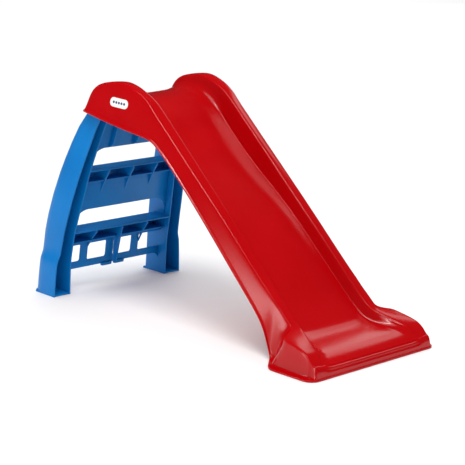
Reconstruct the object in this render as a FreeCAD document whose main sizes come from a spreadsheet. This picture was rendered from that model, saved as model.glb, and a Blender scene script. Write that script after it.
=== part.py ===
import FreeCAD, Part

import math
import os

from FreeCAD import Vector

# A toddler's play slide: a red moulded chute that stands on its foot flange, and a blue moulded
# ladder that hangs on two pins inside the chute's cheeks and folds forward under the chute.
# Lengths are in millimetres. "run" is measured forward from the rear lip of the ladder's feet,
# so a point's x is its run less half the overall length. y is across, z is up from the floor.

DRIVING = {
    "overall_length": 990.6,
    "overall_width": 457.0,
    "overall_height": 582.0,
    "wall": 4.0,
    "flange_thick": 5.0,
    "flange_rear_run": 812.0,
    "flange_corner": 26.0,
    "flange_ledge": 12.0,
    "nose_run": 978.0,
    "nose_half": 206.0,
    "pivot_run": 185.0,
    "pivot_height": 545.0,
    "pin_radius": 6.0,
    "pin_inner_end": 122.0,
    "pin_outer_end": 164.5,
    "pin_running_gap": 0.06,
    "socket_radius": 11.0,
    "socket_gap": 1.5,
    "lower_tread_top": 167.0,
    "lower_tread_rear": 34.0,
    "lower_tread_front": 102.0,
    "lower_tread_floor": 131.0,
    "lower_rib_pitch": 91.0,
    "upper_tread_top": 336.0,
    "upper_tread_rear": 84.0,
    "upper_tread_front": 140.0,
    "upper_tread_floor": 299.0,
    "upper_rib_pitch": 85.0,
    "rib_thick": 3.2,
    "panel_setback": 20.0,
    "upper_panel_low": 222.5,
    "top_panel_low": 390.0,
    "top_panel_high": 512.0,
    "opening_corner": 46.0,
    "lattice_low": 57.0,
    "lattice_bar": 18.5,
    "lattice_post": 25.0,
    "lattice_setback": 30.0,
    "post_offset": -12.0,
    "tab_width": 36.0,
    "tab_drop": 6.0,
    "tab_offset": 22.0,
    "label_length": 60.0,
    "label_height": 23.0,
    "label_thick": 0.6,
    "label_run": 257.0,
    "label_level": 530.5,
    "label_tilt": 3.0,
}

doc = FreeCAD.newDocument("toddler_slide")
sheet = doc.addObject("Spreadsheet::Sheet", "sizes")
for row, (alias, value) in enumerate(DRIVING.items(), start=1):
    sheet.set(f"A{row}", alias)
    sheet.set(f"B{row}", str(value))
    sheet.setAlias(f"B{row}", alias)
doc.recompute()


def size(alias):
    """A driving dimension, read back from the sheet."""
    return float(sheet.get(alias))


HALF_LENGTH = size("overall_length") / 2
WALL = size("wall")
SIDES = {"left": 1, "right": -1}

# The chute's cross-section at each run: the bed's middle height, half width and edge height, then the
# half width and height of the side rail's inner top edge, its outer top edge and the skirt's lower edge.
CHUTE_STATIONS = (
    (126, 488, 121, 489, 128, 506, 158, 506, 175, 493),
    (140, 517, 120, 519, 127, 538, 160, 538, 177, 491),
    (155, 527, 119, 531, 126, 556, 161, 556, 178, 489),
    (180, 533, 116, 540, 125, 570, 162, 570, 178, 485),
    (215, 535, 114, 545, 124, 577, 162, 578, 177.5, 479),
    (250, 533, 113, 541, 123, 581, 160, 582, 176, 473),
    (285, 523, 113, 528, 123, 574, 158, 575, 173, 467),
    (320, 503, 113, 506, 123, 560, 155, 562, 169, 461),
    (345, 483, 113, 484, 122.5, 546, 153, 545, 166, 457),
    (370, 460, 113, 461, 122.3, 526, 152.5, 521, 164.5, 452),
    (415, 421, 113, 421, 122.3, 486, 152.5, 481, 164, 423),
    (470, 376, 113, 376, 122.3, 437, 152.5, 432, 164, 376),
    (568, 306, 113, 306, 122.3, 349, 152.5, 346, 164, 283),
    (643, 243, 113, 243, 122.3, 282, 152.5, 279, 165, 210),
    (720, 174, 113, 174, 123, 213, 152.5, 208, 166, 135),
    (770, 129, 113, 129, 123.5, 167, 152.5, 163, 167, 85),
    (790, 111, 114, 111, 124, 148, 152.5, 146, 168, 52),
    (805, 97, 114, 98, 124.5, 134, 152.5, 132, 169, 5),
    (830, 76, 115, 78, 125, 111, 153, 111, 171, 5),
    (850, 62, 116, 64, 126, 95, 158, 94, 176, 5),
    (880, 51, 122, 53, 134, 78, 186, 76, 197, 5),
    (915, 47, 132, 49, 149, 66, 199, 70, 208, 5),
    (945, 43, 142, 45, 163, 54, 206, 60, 214, 5),
    (965, 36, 150, 37, 172, 42, 206, 48, 214, 5),
    (978, 28, 158, 28, 179, 31, 202, 34, 213, 5),
)
BED_FIRST_STATION = 1
EDGE_EASE = 4.0

# A ladder rail's channel at each height: rear run, front run, outer half width and inner half width.
RAIL_STATIONS = (
    (0, 0, 89.4, 226.5, 170),
    (5, 0, 89.4, 226.3, 170),
    (6, 8, 89.4, 226.2, 170),
    (60, 10, 90, 223.5, 170),
    (92, 11, 91.5, 220, 170),
    (112, 12, 94, 213, 169.5),
    (167, 16, 103, 209.5, 168),
    (210, 23, 112, 206, 164),
    (265, 35, 124, 200, 158),
    (322, 49, 137, 192, 152),
    (360, 60, 144, 184, 146.5),
    (405, 75, 157, 174, 140),
    (448, 94, 170, 166, 134),
    (485, 119, 186, 163, 130),
    (505, 139, 195, 160, 130),
    (525, 153, 201, 158, 130),
    (545, 167, 203, 157, 130),
    (554, 172, 200, 156, 130),
    (561, 176, 196, 156, 130),
)
RAIL_CORNER_RUN = 12.0
RAIL_CORNER_IN = 14.0


def at(run, y, z):
    """A point given by its run."""
    return Vector(run - HALF_LENGTH, y, z)


def add_solid(name, shape):
    """Puts a finished solid in the document under its own label."""
    feature = doc.addObject("Part::Feature", name)
    feature.Label = name
    feature.Shape = shape
    feature.Placement = FreeCAD.Placement()
    return feature


def ruled(outlines):
    """A solid with flat-ruled faces through closed outlines that have the same number of corners."""
    wires = [Part.makePolygon(points + [points[0]]) for points in outlines]
    solid = Part.makeLoft(wires, True, True)
    if solid.Volume < 0:
        solid.reverse()
    return solid


def between(stations, level, column):
    """A station column's value at a level, straight between the two stations around it."""
    for low, high in zip(stations, stations[1:]):
        if low[0] <= level <= high[0]:
            share = (level - low[0]) / (high[0] - low[0])
            return low[column] + share * (high[column] - low[column])
    raise ValueError(f"no station at {level}")


# ---------------------------------------------------------------- chute

def bed_outline(station):
    """The bed's strip: a shallow dish between the two creases."""
    run, middle, half, edge = station[:4]
    quarter = middle + (edge - middle) * 0.3
    top = [(-half, edge), (-half / 2, quarter), (0, middle), (half / 2, quarter), (half, edge)]
    under = [(y, z - WALL) for y, z in reversed(top)]
    return [at(run, y, z) for y, z in top + under]


def side_skin(station):
    """One side's outer skin: from the bed's crease, over the rail, to the skirt's lower edge."""
    _, _, bed_half, bed_edge, in_half, in_top, out_half, out_top, skirt_half, skirt_low = station
    ease = min(EDGE_EASE, (in_top - bed_edge) / 3, (out_top - skirt_low) / 4)
    return [
        (bed_half, bed_edge),
        (in_half - ease / 4, in_top - ease),
        (in_half + ease, in_top),
        (out_half - ease, out_top),
        (out_half + ease / 4, out_top - ease),
        (skirt_half, skirt_low),
    ]


def side_outline(station, sign):
    """One side rail, skirt and cheek: an upturned channel from the bed's crease to the skirt's edge."""
    run, _, bed_half, bed_edge, in_half, in_top, out_half, out_top, skirt_half, skirt_low = station
    inside = [
        (skirt_half - WALL, skirt_low),
        (out_half - WALL, out_top - WALL),
        (in_half + WALL, in_top - WALL),
        (bed_half + WALL / 2, bed_edge - WALL),
        (bed_half, bed_edge - WALL),
    ]
    return [at(run, sign * y, z) for y, z in side_skin(station) + inside]


def rod(radius, near, far, sign):
    """A cylinder on the pivot's axis between two distances from the middle."""
    start = at(size("pivot_run"), sign * near, size("pivot_height"))
    return Part.makeCylinder(radius, far - near, start, Vector(0, sign, 0))


def side_solid(sign):
    """A side rail with the two blind sockets that hold its hinge pin."""
    shell = ruled([side_outline(station, sign) for station in CHUTE_STATIONS])
    filled = ruled([[at(s[0], sign * y, z) for y, z in side_skin(s)] for s in CHUTE_STATIONS])
    rail_outer = between(RAIL_STATIONS, size("pivot_height"), 3)
    rail_inner = between(RAIL_STATIONS, size("pivot_height"), 4)
    radius, gap = size("socket_radius"), size("socket_gap")
    outer_socket = rod(radius, rail_outer + gap, size("overall_width") / 2, sign)
    inner_socket = rod(radius, 0, rail_inner - gap, sign)
    solid = shell.fuse([socket.common(filled) for socket in (outer_socket, inner_socket)])
    return solid.cut(rod(size("pin_radius"), size("pin_inner_end"), size("pin_outer_end"), sign))


add_solid("chute_bed", ruled([bed_outline(s) for s in CHUTE_STATIONS[BED_FIRST_STATION:]]))
for side, sign in SIDES.items():
    add_solid(f"{side}_side_rail", side_solid(sign))

# ---------------------------------------------------------------- helpers for bound features


def bind(feature, **expressions):
    """Binds a feature's properties to the sheet."""
    for prop, expression in expressions.items():
        feature.setExpression(prop.replace("__", "."), expression)


def origin_plane(body, role):
    """One of a body's own origin planes, by its role."""
    return next(f for f in body.Origin.OriginFeatures if f.Role == role)


def sketch_on(body, role, name, points):
    """A closed outline of straight lines on one of the body's origin planes."""
    sketch = body.newObject("Sketcher::SketchObject", name)
    sketch.AttachmentSupport = [(origin_plane(body, role), "")]
    sketch.MapMode = "FlatFace"
    for start, end in zip(points, points[1:] + points[:1]):
        sketch.addGeometry(Part.LineSegment(Vector(*start, 0), Vector(*end, 0)), False)
    return sketch


def pad_on(body, name, sketch, length, midplane=False):
    """A pad of a sketch, its length bound to an expression."""
    pad = body.newObject("PartDesign::Pad", name)
    pad.Profile = sketch
    pad.Midplane = midplane
    pad.setExpression("Length", length)
    sketch.Visibility = False
    return pad


def new_body(name):
    """An empty body with its own label."""
    body = doc.addObject("PartDesign::Body", name)
    body.Label = name
    return body


# ---------------------------------------------------------------- foot

# The flange's rear tip half width, the two points of its shoulder behind the straight side, and the
# skirt's half widths that its opening follows.
FLANGE_TIP_HALF = 172
FLANGE_SHOULDER = ((848, 221), (864, 228.5))
CORNER_STEPS = 5
OPENING_LINE = ((812, 169), (850, 176), (880, 197), (945, 214))
OPENING_FRONT_HALF = 210


def flange_points():
    """The flange's outline, clockwise from its rear left tip, with eased front corners."""
    half = size("overall_width") / 2
    front = size("overall_length")
    corner = size("flange_corner")
    rear = size("flange_rear_run")
    left = [(rear, FLANGE_TIP_HALF), *FLANGE_SHOULDER, (front - corner, half)]
    for step in range(1, CORNER_STEPS + 1):
        turn = math.radians(90 * step / CORNER_STEPS)
        left.append((front - corner + corner * math.sin(turn), half - corner + corner * math.cos(turn)))
    return left + [(run, -y) for run, y in reversed(left)]


def flange_opening():
    """The opening inside the flange, a ledge's width inside the skirt."""
    ledge = size("flange_ledge")
    left = [(run, half - ledge) for run, half in OPENING_LINE]
    left.append((size("nose_run") - ledge, OPENING_FRONT_HALF - ledge))
    return left + [(run, -y) for run, y in reversed(left)]


flange = new_body("foot_flange")
plate_points = [(run - HALF_LENGTH, y) for run, y in flange_points()]
plate_sketch = sketch_on(flange, "XY_Plane", "flange_outline", plate_points)
pad_on(flange, "flange_plate", plate_sketch, "sizes.flange_thick")
doc.recompute()
full_plate = flange.Shape.Volume
opening_points = [(run - HALF_LENGTH, y) for run, y in flange_opening()]
opening_sketch = sketch_on(flange, "XY_Plane", "flange_opening", opening_points)
opening = flange.newObject("PartDesign::Pocket", "flange_void")
opening.Profile = opening_sketch
opening.Type = "ThroughAll"
opening.Midplane = True
doc.recompute()
if flange.Shape.Volume > full_plate * 0.6:
    raise RuntimeError("the flange's opening was not cut")

# The nose's section: run and height, from the bed's lip down to the flange.
NOSE_PROFILE = ((978, 28), (984, 24), (987.5, 14), (988.6, 5), (978, 5))
nose = new_body("foot_nose")
nose_points = [(run - HALF_LENGTH, z) for run, z in NOSE_PROFILE]
nose_sketch = sketch_on(nose, "XZ_Plane", "nose_profile", nose_points)
pad_on(nose, "nose_bar", nose_sketch, "sizes.nose_half * 2", midplane=True)

# ---------------------------------------------------------------- ladder

def rail_outline(station, sign):
    """A rail's channel, open to the front, with its rear outer corner taken off."""
    z, rear, front, outer, inner = station
    corner_run = rear + RAIL_CORNER_RUN
    corner_half = outer - RAIL_CORNER_IN
    points = [
        (front, outer),
        (corner_run, outer - 2),
        (rear, corner_half),
        (rear, inner),
        (front, inner),
        (front, inner + WALL),
        (rear + WALL, inner + WALL),
        (rear + WALL, corner_half - 2),
        (corner_run + 2, outer - 2 - WALL),
        (front, outer - WALL),
    ]
    return [at(run, sign * y, z) for run, y in points]


def rail_block(station, sign):
    """The whole space that a rail fills, front to rear and wall to wall."""
    z, rear, front, outer, inner = station
    corner_run = rear + RAIL_CORNER_RUN
    corner_half = outer - RAIL_CORNER_IN
    points = [(front, outer), (corner_run, outer - 2), (rear, corner_half), (rear, inner), (front, inner)]
    return [at(run, sign * y, z) for run, y in points]


def rail_solid(sign):
    """A rail with its sole plate, its top plate and the hinge pin's hole."""
    channel = ruled([rail_outline(station, sign) for station in RAIL_STATIONS])
    sole = ruled([rail_block(station, sign) for station in RAIL_STATIONS[:2]])
    cap = ruled([rail_block(station, sign) for station in RAIL_STATIONS[-2:]])
    eye_inner = between(RAIL_STATIONS, size("pivot_height"), 4)
    eye_outer = between(RAIL_STATIONS, size("pivot_height"), 3) - 1
    eye = rod(size("socket_radius"), eye_inner, eye_outer, sign)
    solid = channel.fuse([sole, cap, eye])
    hole_radius = size("pin_radius") + size("pin_running_gap")
    return solid.cut(rod(hole_radius, 0, size("overall_width") / 2, sign))


def between_rails(low, high, rear, front):
    """The space between the two rails from one height to another, its runs given as functions of height."""
    levels = [low] + [s[0] for s in RAIL_STATIONS if low < s[0] < high] + [high]
    outlines = []
    for z in levels:
        half = between(RAIL_STATIONS, z, 4)
        corners = [(front(z), half), (rear(z), half), (rear(z), -half), (front(z), -half)]
        outlines.append([at(run, y, z) for run, y in corners])
    return ruled(outlines)


def panel_front(z):
    """The run of the panels' front face, set back from the rails' front edges."""
    return between(RAIL_STATIONS, z, 2) - size("panel_setback")


def panel_rear(z):
    """The run of the panels' rear face."""
    return panel_front(z) - WALL


for side, sign in SIDES.items():
    add_solid(f"{side}_ladder_rail", rail_solid(sign))


def rib_solid(outline, middle):
    """A tread's rib: an upright plate whose outline is given as runs and heights."""
    thick = size("rib_thick")
    face = Part.Face(Part.makePolygon([at(run, middle - thick / 2, z) for run, z in outline + outline[:1]]))
    return face.extrude(Vector(0, thick, 0))


# How far a rib's front edge stands behind the tread's, and how far below its top the gusset starts.
RIB_SETBACK = 3
GUSSET_DROP = 14


def tread_solid(level):
    """A tread: a tray open to the front with three ribs, trimmed to the rails' inner walls."""
    top, floor = size(f"{level}_tread_top"), size(f"{level}_tread_floor")
    rear, front = size(f"{level}_tread_rear"), size(f"{level}_tread_front")
    back = front - size("panel_setback")
    tray = [
        (rear, floor),
        (back, floor),
        (back, floor + WALL),
        (rear + WALL, floor + WALL),
        (rear + WALL, top - WALL),
        (front, top - WALL),
        (front, top),
        (rear, top),
    ]
    blank = new_body(f"{level}_tread_blank")
    tray_points = [(run - HALF_LENGTH, z) for run, z in tray]
    tray_sketch = sketch_on(blank, "XZ_Plane", f"{level}_tread_tray", tray_points)
    pad_on(blank, f"{level}_tread_shelf", tray_sketch, "sizes.overall_width", midplane=True)
    doc.recompute()
    rib = [
        (rear + WALL, floor + WALL),
        (back, floor + WALL),
        (front - RIB_SETBACK, top - GUSSET_DROP),
        (front - RIB_SETBACK, top - WALL),
        (rear + WALL, top - WALL),
    ]
    ribs = [rib_solid(rib, index * size(f"{level}_rib_pitch")) for index in (-1, 0, 1)]
    room = between_rails(floor, top, lambda z: rear, lambda z: front)
    return blank.Shape.fuse(ribs).common(room)


for level in ("lower", "upper"):
    add_solid(f"{level}_tread", tread_solid(level))


def arched_panel(opening_floor, opening_top, high):
    """A panel between the rails whose lower corners run down beside the opening in wide curves."""
    slab = between_rails(opening_floor, high, panel_rear, panel_front)
    radius = size("opening_corner")
    side = WALL / 2
    sill_half = between(RAIL_STATIONS, opening_floor, 4) - side
    arch_half = between(RAIL_STATIONS, opening_top, 4) - side
    eased = radius * (1 - math.cos(math.radians(45)))
    right = [
        at(0, sill_half, opening_floor - 1),
        at(0, arch_half, opening_top - radius),
        at(0, arch_half - eased, opening_top - eased),
        at(0, arch_half - radius, opening_top),
    ]
    left = [Vector(p.x, -p.y, p.z) for p in right]
    edges = [
        Part.makeLine(left[0], left[1]),
        Part.Arc(*left[1:]).toShape(),
        Part.makeLine(left[3], right[3]),
        Part.Arc(*reversed(right[1:])).toShape(),
        Part.makeLine(right[1], right[0]),
        Part.makeLine(right[0], left[0]),
    ]
    hole = Part.Face(Part.Wire(edges)).extrude(Vector(HALF_LENGTH, 0, 0))
    return slab.cut(hole)


# Each panel runs from the tread below, down both sides of the opening, up to what is above it.
add_solid("upper_panel", arched_panel(
    size("lower_tread_top"), size("upper_panel_low"), size("upper_tread_floor")))
add_solid("top_panel", arched_panel(
    size("upper_tread_top"), size("top_panel_low"), size("top_panel_high")))


def lattice_solid():
    """The bar low between the feet, its posts up to the lower tread, and two storage tabs under it."""
    low, high = size("lattice_low"), size("lower_tread_floor")
    post_width, tab_width, tab_drop = size("lattice_post"), size("tab_width"), size("tab_drop")
    setback = size("lattice_setback")

    def front(z):
        """The run of the lattice's front face."""
        return between(RAIL_STATIONS, z, 2) - setback

    def rear(z):
        """The run of the lattice's rear face."""
        return front(z) - WALL

    bar = between_rails(low, low + size("lattice_bar"), rear, front)
    slab = between_rails(low, high, rear, front)
    pieces = []
    for index in (-1, 0, 1):
        middle = size("post_offset") + index * size("lower_rib_pitch")
        corner = at(0, middle - post_width / 2, low)
        pieces.append(slab.common(Part.makeBox(HALF_LENGTH, post_width, high - low, corner)))
    for sign in SIDES.values():
        corner = at(rear(low), sign * size("tab_offset") - tab_width / 2, low - tab_drop)
        pieces.append(Part.makeBox(WALL, tab_width, tab_drop + 2, corner))
    return bar.fuse(pieces).removeSplitter()


add_solid("lower_lattice", lattice_solid())

# ---------------------------------------------------------------- hinge

for side, sign in SIDES.items():
    pin = doc.addObject("Part::Cylinder", f"{side}_hinge_pin")
    pin.Label = f"{side}_hinge_pin"
    bind(pin, Radius="sizes.pin_radius", Height="sizes.pin_outer_end - sizes.pin_inner_end")
    base = at(size("pivot_run"), sign * size("pin_inner_end"), size("pivot_height"))
    pin.Placement = FreeCAD.Placement(base, FreeCAD.Rotation(Vector(1, 0, 0), -90 * sign))

# ---------------------------------------------------------------- labels

# The cheek's outer face where a label lies, from just under its top edge to the skirt's edge.
LABEL_STATIONS = [s for s in CHUTE_STATIONS if 200 < s[0] < 330]
CHEEK_TOP_OUT = 1.5
CHEEK_TOP_DROP = 6


def label_solid(sign):
    """A blank rounded label that lies on the cheek and follows its slope."""
    length, height, thick = size("label_length"), size("label_height"), size("label_thick")
    reach = size("overall_width") / 2
    far = length / 2 - height / 2
    stamp = Part.makeBox(2 * far, reach, height, Vector(-far, 0, -height / 2))
    ends = [Part.makeCylinder(height / 2, reach, Vector(x, 0, 0), Vector(0, 1, 0)) for x in (-far, far)]
    stamp = stamp.fuse(ends).removeSplitter()
    stamp.rotate(Vector(0, 0, 0), Vector(0, 1, 0), size("label_tilt"))
    stamp.translate(at(size("label_run"), 0 if sign > 0 else -reach, size("label_level")))
    outlines = []
    for run, _, _, _, _, _, out_half, out_top, skirt_half, skirt_low in LABEL_STATIONS:
        top_half, top = out_half + CHEEK_TOP_OUT, out_top - CHEEK_TOP_DROP
        strip = [
            (top_half, top), (top_half + thick, top),
            (skirt_half + thick, skirt_low), (skirt_half, skirt_low),
        ]
        outlines.append([at(run, sign * y, z) for y, z in strip])
    return ruled(outlines).common(stamp)


for side, sign in SIDES.items():
    add_solid(f"{side}_label", label_solid(sign))

# ---------------------------------------------------------------- check and export

NODES = (
    "chute_bed", "left_side_rail", "right_side_rail", "foot_flange", "foot_nose",
    "left_hinge_pin", "right_hinge_pin", "left_label", "right_label",
    "left_ladder_rail", "right_ladder_rail", "lower_tread", "upper_tread",
    "upper_panel", "top_panel", "lower_lattice",
)

doc.recompute()
for item in doc.Objects:
    if "Invalid" in item.State or "Error" in item.State:
        raise RuntimeError(f"{item.Label} did not build: {item.State}")
os.makedirs("parts", exist_ok=True)
for name in NODES:
    item = doc.getObjectsByLabel(name)[0]
    shape = item.Shape
    if shape.isNull() or not shape.isValid():
        raise RuntimeError(f"{name} has no valid shape")
    shape.exportStep(f"parts/{name}.step")
    box = shape.BoundBox
    print(f"{name:18s} solids {len(shape.Solids)} volume {shape.Volume / 1000:8.1f} cm3 "
          f"x {box.XMin:7.1f} {box.XMax:7.1f} y {box.YMin:7.1f} {box.YMax:7.1f} "
          f"z {box.ZMin:6.1f} {box.ZMax:6.1f}")
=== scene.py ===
"""Looks of a toddler slide: a red moulded chute on a blue moulded ladder that folds in under it.

Every piece is in metres in the frame's own axes: +Z up, +X from the ladder towards the chute's foot.
"run" is measured forward from the rear lip of the ladder's feet, in millimetres, as a maker would, and so
are the pieces' own sizes. The finishes, the lamps and the camera are in metres.
"""

import logging
import math
from dataclasses import dataclass, field
from enum import Enum
from typing import Callable, Sequence

import bpy
from mathutils import Matrix, Vector


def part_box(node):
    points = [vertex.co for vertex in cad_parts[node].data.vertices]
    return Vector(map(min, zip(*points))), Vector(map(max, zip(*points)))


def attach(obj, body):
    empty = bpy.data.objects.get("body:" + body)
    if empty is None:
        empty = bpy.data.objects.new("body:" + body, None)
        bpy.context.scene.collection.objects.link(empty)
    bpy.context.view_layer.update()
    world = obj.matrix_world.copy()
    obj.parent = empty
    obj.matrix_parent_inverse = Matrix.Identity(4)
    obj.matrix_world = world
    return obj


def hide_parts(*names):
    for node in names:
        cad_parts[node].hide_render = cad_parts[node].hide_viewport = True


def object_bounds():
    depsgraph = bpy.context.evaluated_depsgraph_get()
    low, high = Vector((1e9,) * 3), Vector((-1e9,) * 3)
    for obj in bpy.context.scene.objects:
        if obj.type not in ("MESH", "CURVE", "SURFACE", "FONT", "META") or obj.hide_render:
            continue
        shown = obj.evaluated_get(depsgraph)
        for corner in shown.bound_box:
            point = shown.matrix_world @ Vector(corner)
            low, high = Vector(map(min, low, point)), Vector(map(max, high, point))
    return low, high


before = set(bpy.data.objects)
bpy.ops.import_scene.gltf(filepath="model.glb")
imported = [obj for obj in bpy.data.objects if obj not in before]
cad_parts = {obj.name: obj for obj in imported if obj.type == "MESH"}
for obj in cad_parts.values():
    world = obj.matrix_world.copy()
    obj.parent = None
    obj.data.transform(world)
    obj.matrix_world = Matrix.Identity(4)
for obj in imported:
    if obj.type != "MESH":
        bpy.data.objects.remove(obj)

CAD_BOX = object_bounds()
LOG = logging.getLogger("toddler_slide")
MM = 0.001
SMOOTH_ANGLE = math.radians(32)
REAR = CAD_BOX[0].x / MM
LENGTH = (CAD_BOX[1].x - CAD_BOX[0].x) / MM
HALF_WIDTH = CAD_BOX[1].y / MM


class Side(Enum):
    """The two hands of the slide, seen from its deck looking down the chute."""

    LEFT = 1
    RIGHT = -1


class Level(Enum):
    """The ladder's two treads."""

    LOWER = "lower"
    UPPER = "upper"


# ------------------------------------------------------------------ small tools


def place(run: float, across: float, height: float) -> Vector:
    """A point in the frame from a run, a distance across and a height, all in millimetres."""
    return Vector(((REAR + run) * MM, across * MM, height * MM))


class Track:
    """A smooth line of values along a run or a height."""

    def __init__(self, points: Sequence[tuple[float, float]]) -> None:
        """Keeps the points and works out a slope at each.

        Args:
            points: Pairs of place and value, in order of place.
        """
        self.at = [p[0] for p in points]
        self.value = [p[1] for p in points]
        steps = [(b[1] - a[1]) / (b[0] - a[0]) for a, b in zip(points, points[1:])]
        self.slope = [steps[0]] + [self._knee(a, b) for a, b in zip(steps, steps[1:])] + [steps[-1]]

    @staticmethod
    def _knee(before: float, after: float) -> float:
        """A slope between two steps that never overshoots either.

        Args:
            before: The step's slope before the point.
            after: The step's slope after it.

        Returns:
            Their harmonic mean, or level where they turn back.
        """
        if before * after <= 0:
            return 0.0
        return 2 * before * after / (before + after)

    def __call__(self, place_at: float) -> float:
        """The value at a place, held level past both ends.

        Args:
            place_at: Where along the line.

        Returns:
            The value there.
        """
        if place_at <= self.at[0]:
            return self.value[0]
        for i, (a, b) in enumerate(zip(self.at, self.at[1:])):
            if place_at <= b:
                span, t = b - a, (place_at - a) / (b - a)
                rise = self.value[i + 1] - self.value[i]
                start, end = self.slope[i] * span, self.slope[i + 1] * span
                return (
                    self.value[i]
                    + start * t
                    + (3 * rise - 2 * start - end) * t * t
                    + (start + end - 2 * rise) * t * t * t
                )
        return self.value[-1]


def deselect_all() -> None:
    """Leaves nothing selected, in object mode."""
    if bpy.context.object and bpy.context.object.mode != "OBJECT":
        bpy.ops.object.mode_set(mode="OBJECT")
    bpy.ops.object.select_all(action="DESELECT")


def activate(piece: bpy.types.Object) -> None:
    """Makes one piece the only selected and active one.

    Args:
        piece: The piece.
    """
    deselect_all()
    piece.select_set(True)
    bpy.context.view_layer.objects.active = piece


def take_new(name: str) -> bpy.types.Object:
    """Names the primitive that was just added, and bakes its place into its mesh.

    Args:
        name: The new piece's name.

    Returns:
        The new piece.
    """
    piece = bpy.context.object
    piece.name = piece.data.name = name
    bpy.ops.object.transform_apply(location=True, rotation=True, scale=True)
    return piece


def select_where(piece: bpy.types.Object, kind: str, test: Callable[[object], bool]) -> int:
    """Selects the faces, edges or vertices that pass a test, in edit mode.

    Args:
        piece: The active piece.
        kind: polygons, edges or vertices.
        test: Says whether an element is wanted.

    Returns:
        How many were selected.
    """
    modes = {"polygons": "FACE", "edges": "EDGE", "vertices": "VERT"}
    bpy.ops.object.mode_set(mode="EDIT")
    bpy.ops.mesh.select_mode(type=modes[kind])
    bpy.ops.mesh.select_all(action="DESELECT")
    bpy.ops.object.mode_set(mode="OBJECT")
    count = 0
    for element in getattr(piece.data, kind):
        element.select = bool(test(element))
        count += element.select
    bpy.ops.object.mode_set(mode="EDIT")
    return count


def apply_modifier(piece: bpy.types.Object, kind: str, **settings: object) -> None:
    """Adds a modifier with its settings and applies it.

    Args:
        piece: The piece.
        kind: The modifier's type.
        settings: The modifier's attributes.
    """
    activate(piece)
    modifier = piece.modifiers.new(kind.lower(), kind)
    for key, value in settings.items():
        setattr(modifier, key, value)
    bpy.ops.object.modifier_apply(modifier=modifier.name)


def face_outwards(piece: bpy.types.Object, merge: float = 0.00002) -> None:
    """Merges doubles and turns every face outwards.

    Args:
        piece: The piece.
        merge: How close two points are merged, in metres.
    """
    activate(piece)
    bpy.ops.object.mode_set(mode="EDIT")
    bpy.ops.mesh.select_all(action="SELECT")
    bpy.ops.mesh.remove_doubles(threshold=merge)
    bpy.ops.mesh.normals_make_consistent(inside=False)
    bpy.ops.object.mode_set(mode="OBJECT")


def flip(piece: bpy.types.Object) -> None:
    """Turns every face of a piece the other way.

    Args:
        piece: The piece.
    """
    activate(piece)
    bpy.ops.object.mode_set(mode="EDIT")
    bpy.ops.mesh.select_all(action="SELECT")
    bpy.ops.mesh.flip_normals()
    bpy.ops.object.mode_set(mode="OBJECT")


def cut_across(point: Sequence[float], normal: Sequence[float]) -> None:
    """Adds a line of edges to the active piece where a plane crosses it.

    Args:
        point: A point on the plane.
        normal: The plane's normal.
    """
    bpy.ops.object.mode_set(mode="EDIT")
    bpy.ops.mesh.select_all(action="SELECT")
    bpy.ops.mesh.bisect(plane_co=point, plane_no=normal)
    bpy.ops.object.mode_set(mode="OBJECT")


def round_edges(piece: bpy.types.Object, radius: float, angle: float = 35.0, segments: int = 3) -> None:
    """Rounds every edge sharper than an angle, and shades the piece smooth.

    Args:
        piece: The piece.
        radius: The rounding, in millimetres.
        angle: Edges that turn by less than this stay as they are, in degrees.
        segments: Steps round the edge.
    """
    apply_modifier(
        piece, "BEVEL", width=radius * MM, segments=segments, limit_method="ANGLE",
        angle_limit=math.radians(angle), use_clamp_overlap=True, harden_normals=False,
    )
    activate(piece)
    bpy.ops.object.shade_smooth_by_angle(angle=SMOOTH_ANGLE)


def extrude_stack(name: str, outlines: Sequence[Sequence[Vector]]) -> bpy.types.Object:
    """A closed solid extruded from a filled outline through the others in turn.

    Args:
        name: The piece's name.
        outlines: Outlines with equal numbers of corners, from one end to the other.

    Returns:
        The new piece.
    """
    deselect_all()
    corners = len(outlines[0])
    bpy.ops.mesh.primitive_circle_add(vertices=corners, radius=0.1, fill_type="NGON")
    piece = take_new(name)
    for vertex, point in zip(piece.data.vertices, outlines[0]):
        vertex.co = point
    for outline in outlines[1:]:
        bpy.ops.object.mode_set(mode="EDIT")
        bpy.ops.mesh.extrude_region_move()
        bpy.ops.object.mode_set(mode="OBJECT")
        for vertex, point in zip(piece.data.vertices[-corners:], outline):
            vertex.co = point
    face_outwards(piece)
    return piece


def extruded_plate(name: str, outline: Sequence[Vector], depth: Vector) -> bpy.types.Object:
    """A flat outline given a depth."""
    return extrude_stack(name, [outline, [point + depth for point in outline]])


def join(pieces: Sequence[bpy.types.Object], name: str) -> bpy.types.Object:
    """Joins pieces into the first.

    Args:
        pieces: The pieces.
        name: The joined piece's name.

    Returns:
        The joined piece.
    """
    activate(pieces[0])
    for piece in pieces[1:]:
        piece.select_set(True)
    bpy.ops.object.join()
    pieces[0].name = pieces[0].data.name = name
    return pieces[0]


def arc(
    centre: tuple[float, float], radius: float, start: float, end: float, steps: int
) -> list[tuple[float, float]]:
    """Points round an arc, its ends among them.

    Args:
        centre: The arc's centre.
        radius: Its radius.
        start: Its first angle, in degrees.
        end: Its last angle, in degrees.
        steps: How many equal steps it takes.

    Returns:
        The points.
    """
    turns = [math.radians(start + (end - start) * i / steps) for i in range(steps + 1)]
    return [(centre[0] + radius * math.cos(t), centre[1] + radius * math.sin(t)) for t in turns]


# ------------------------------------------------------------------ shader maths


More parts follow.
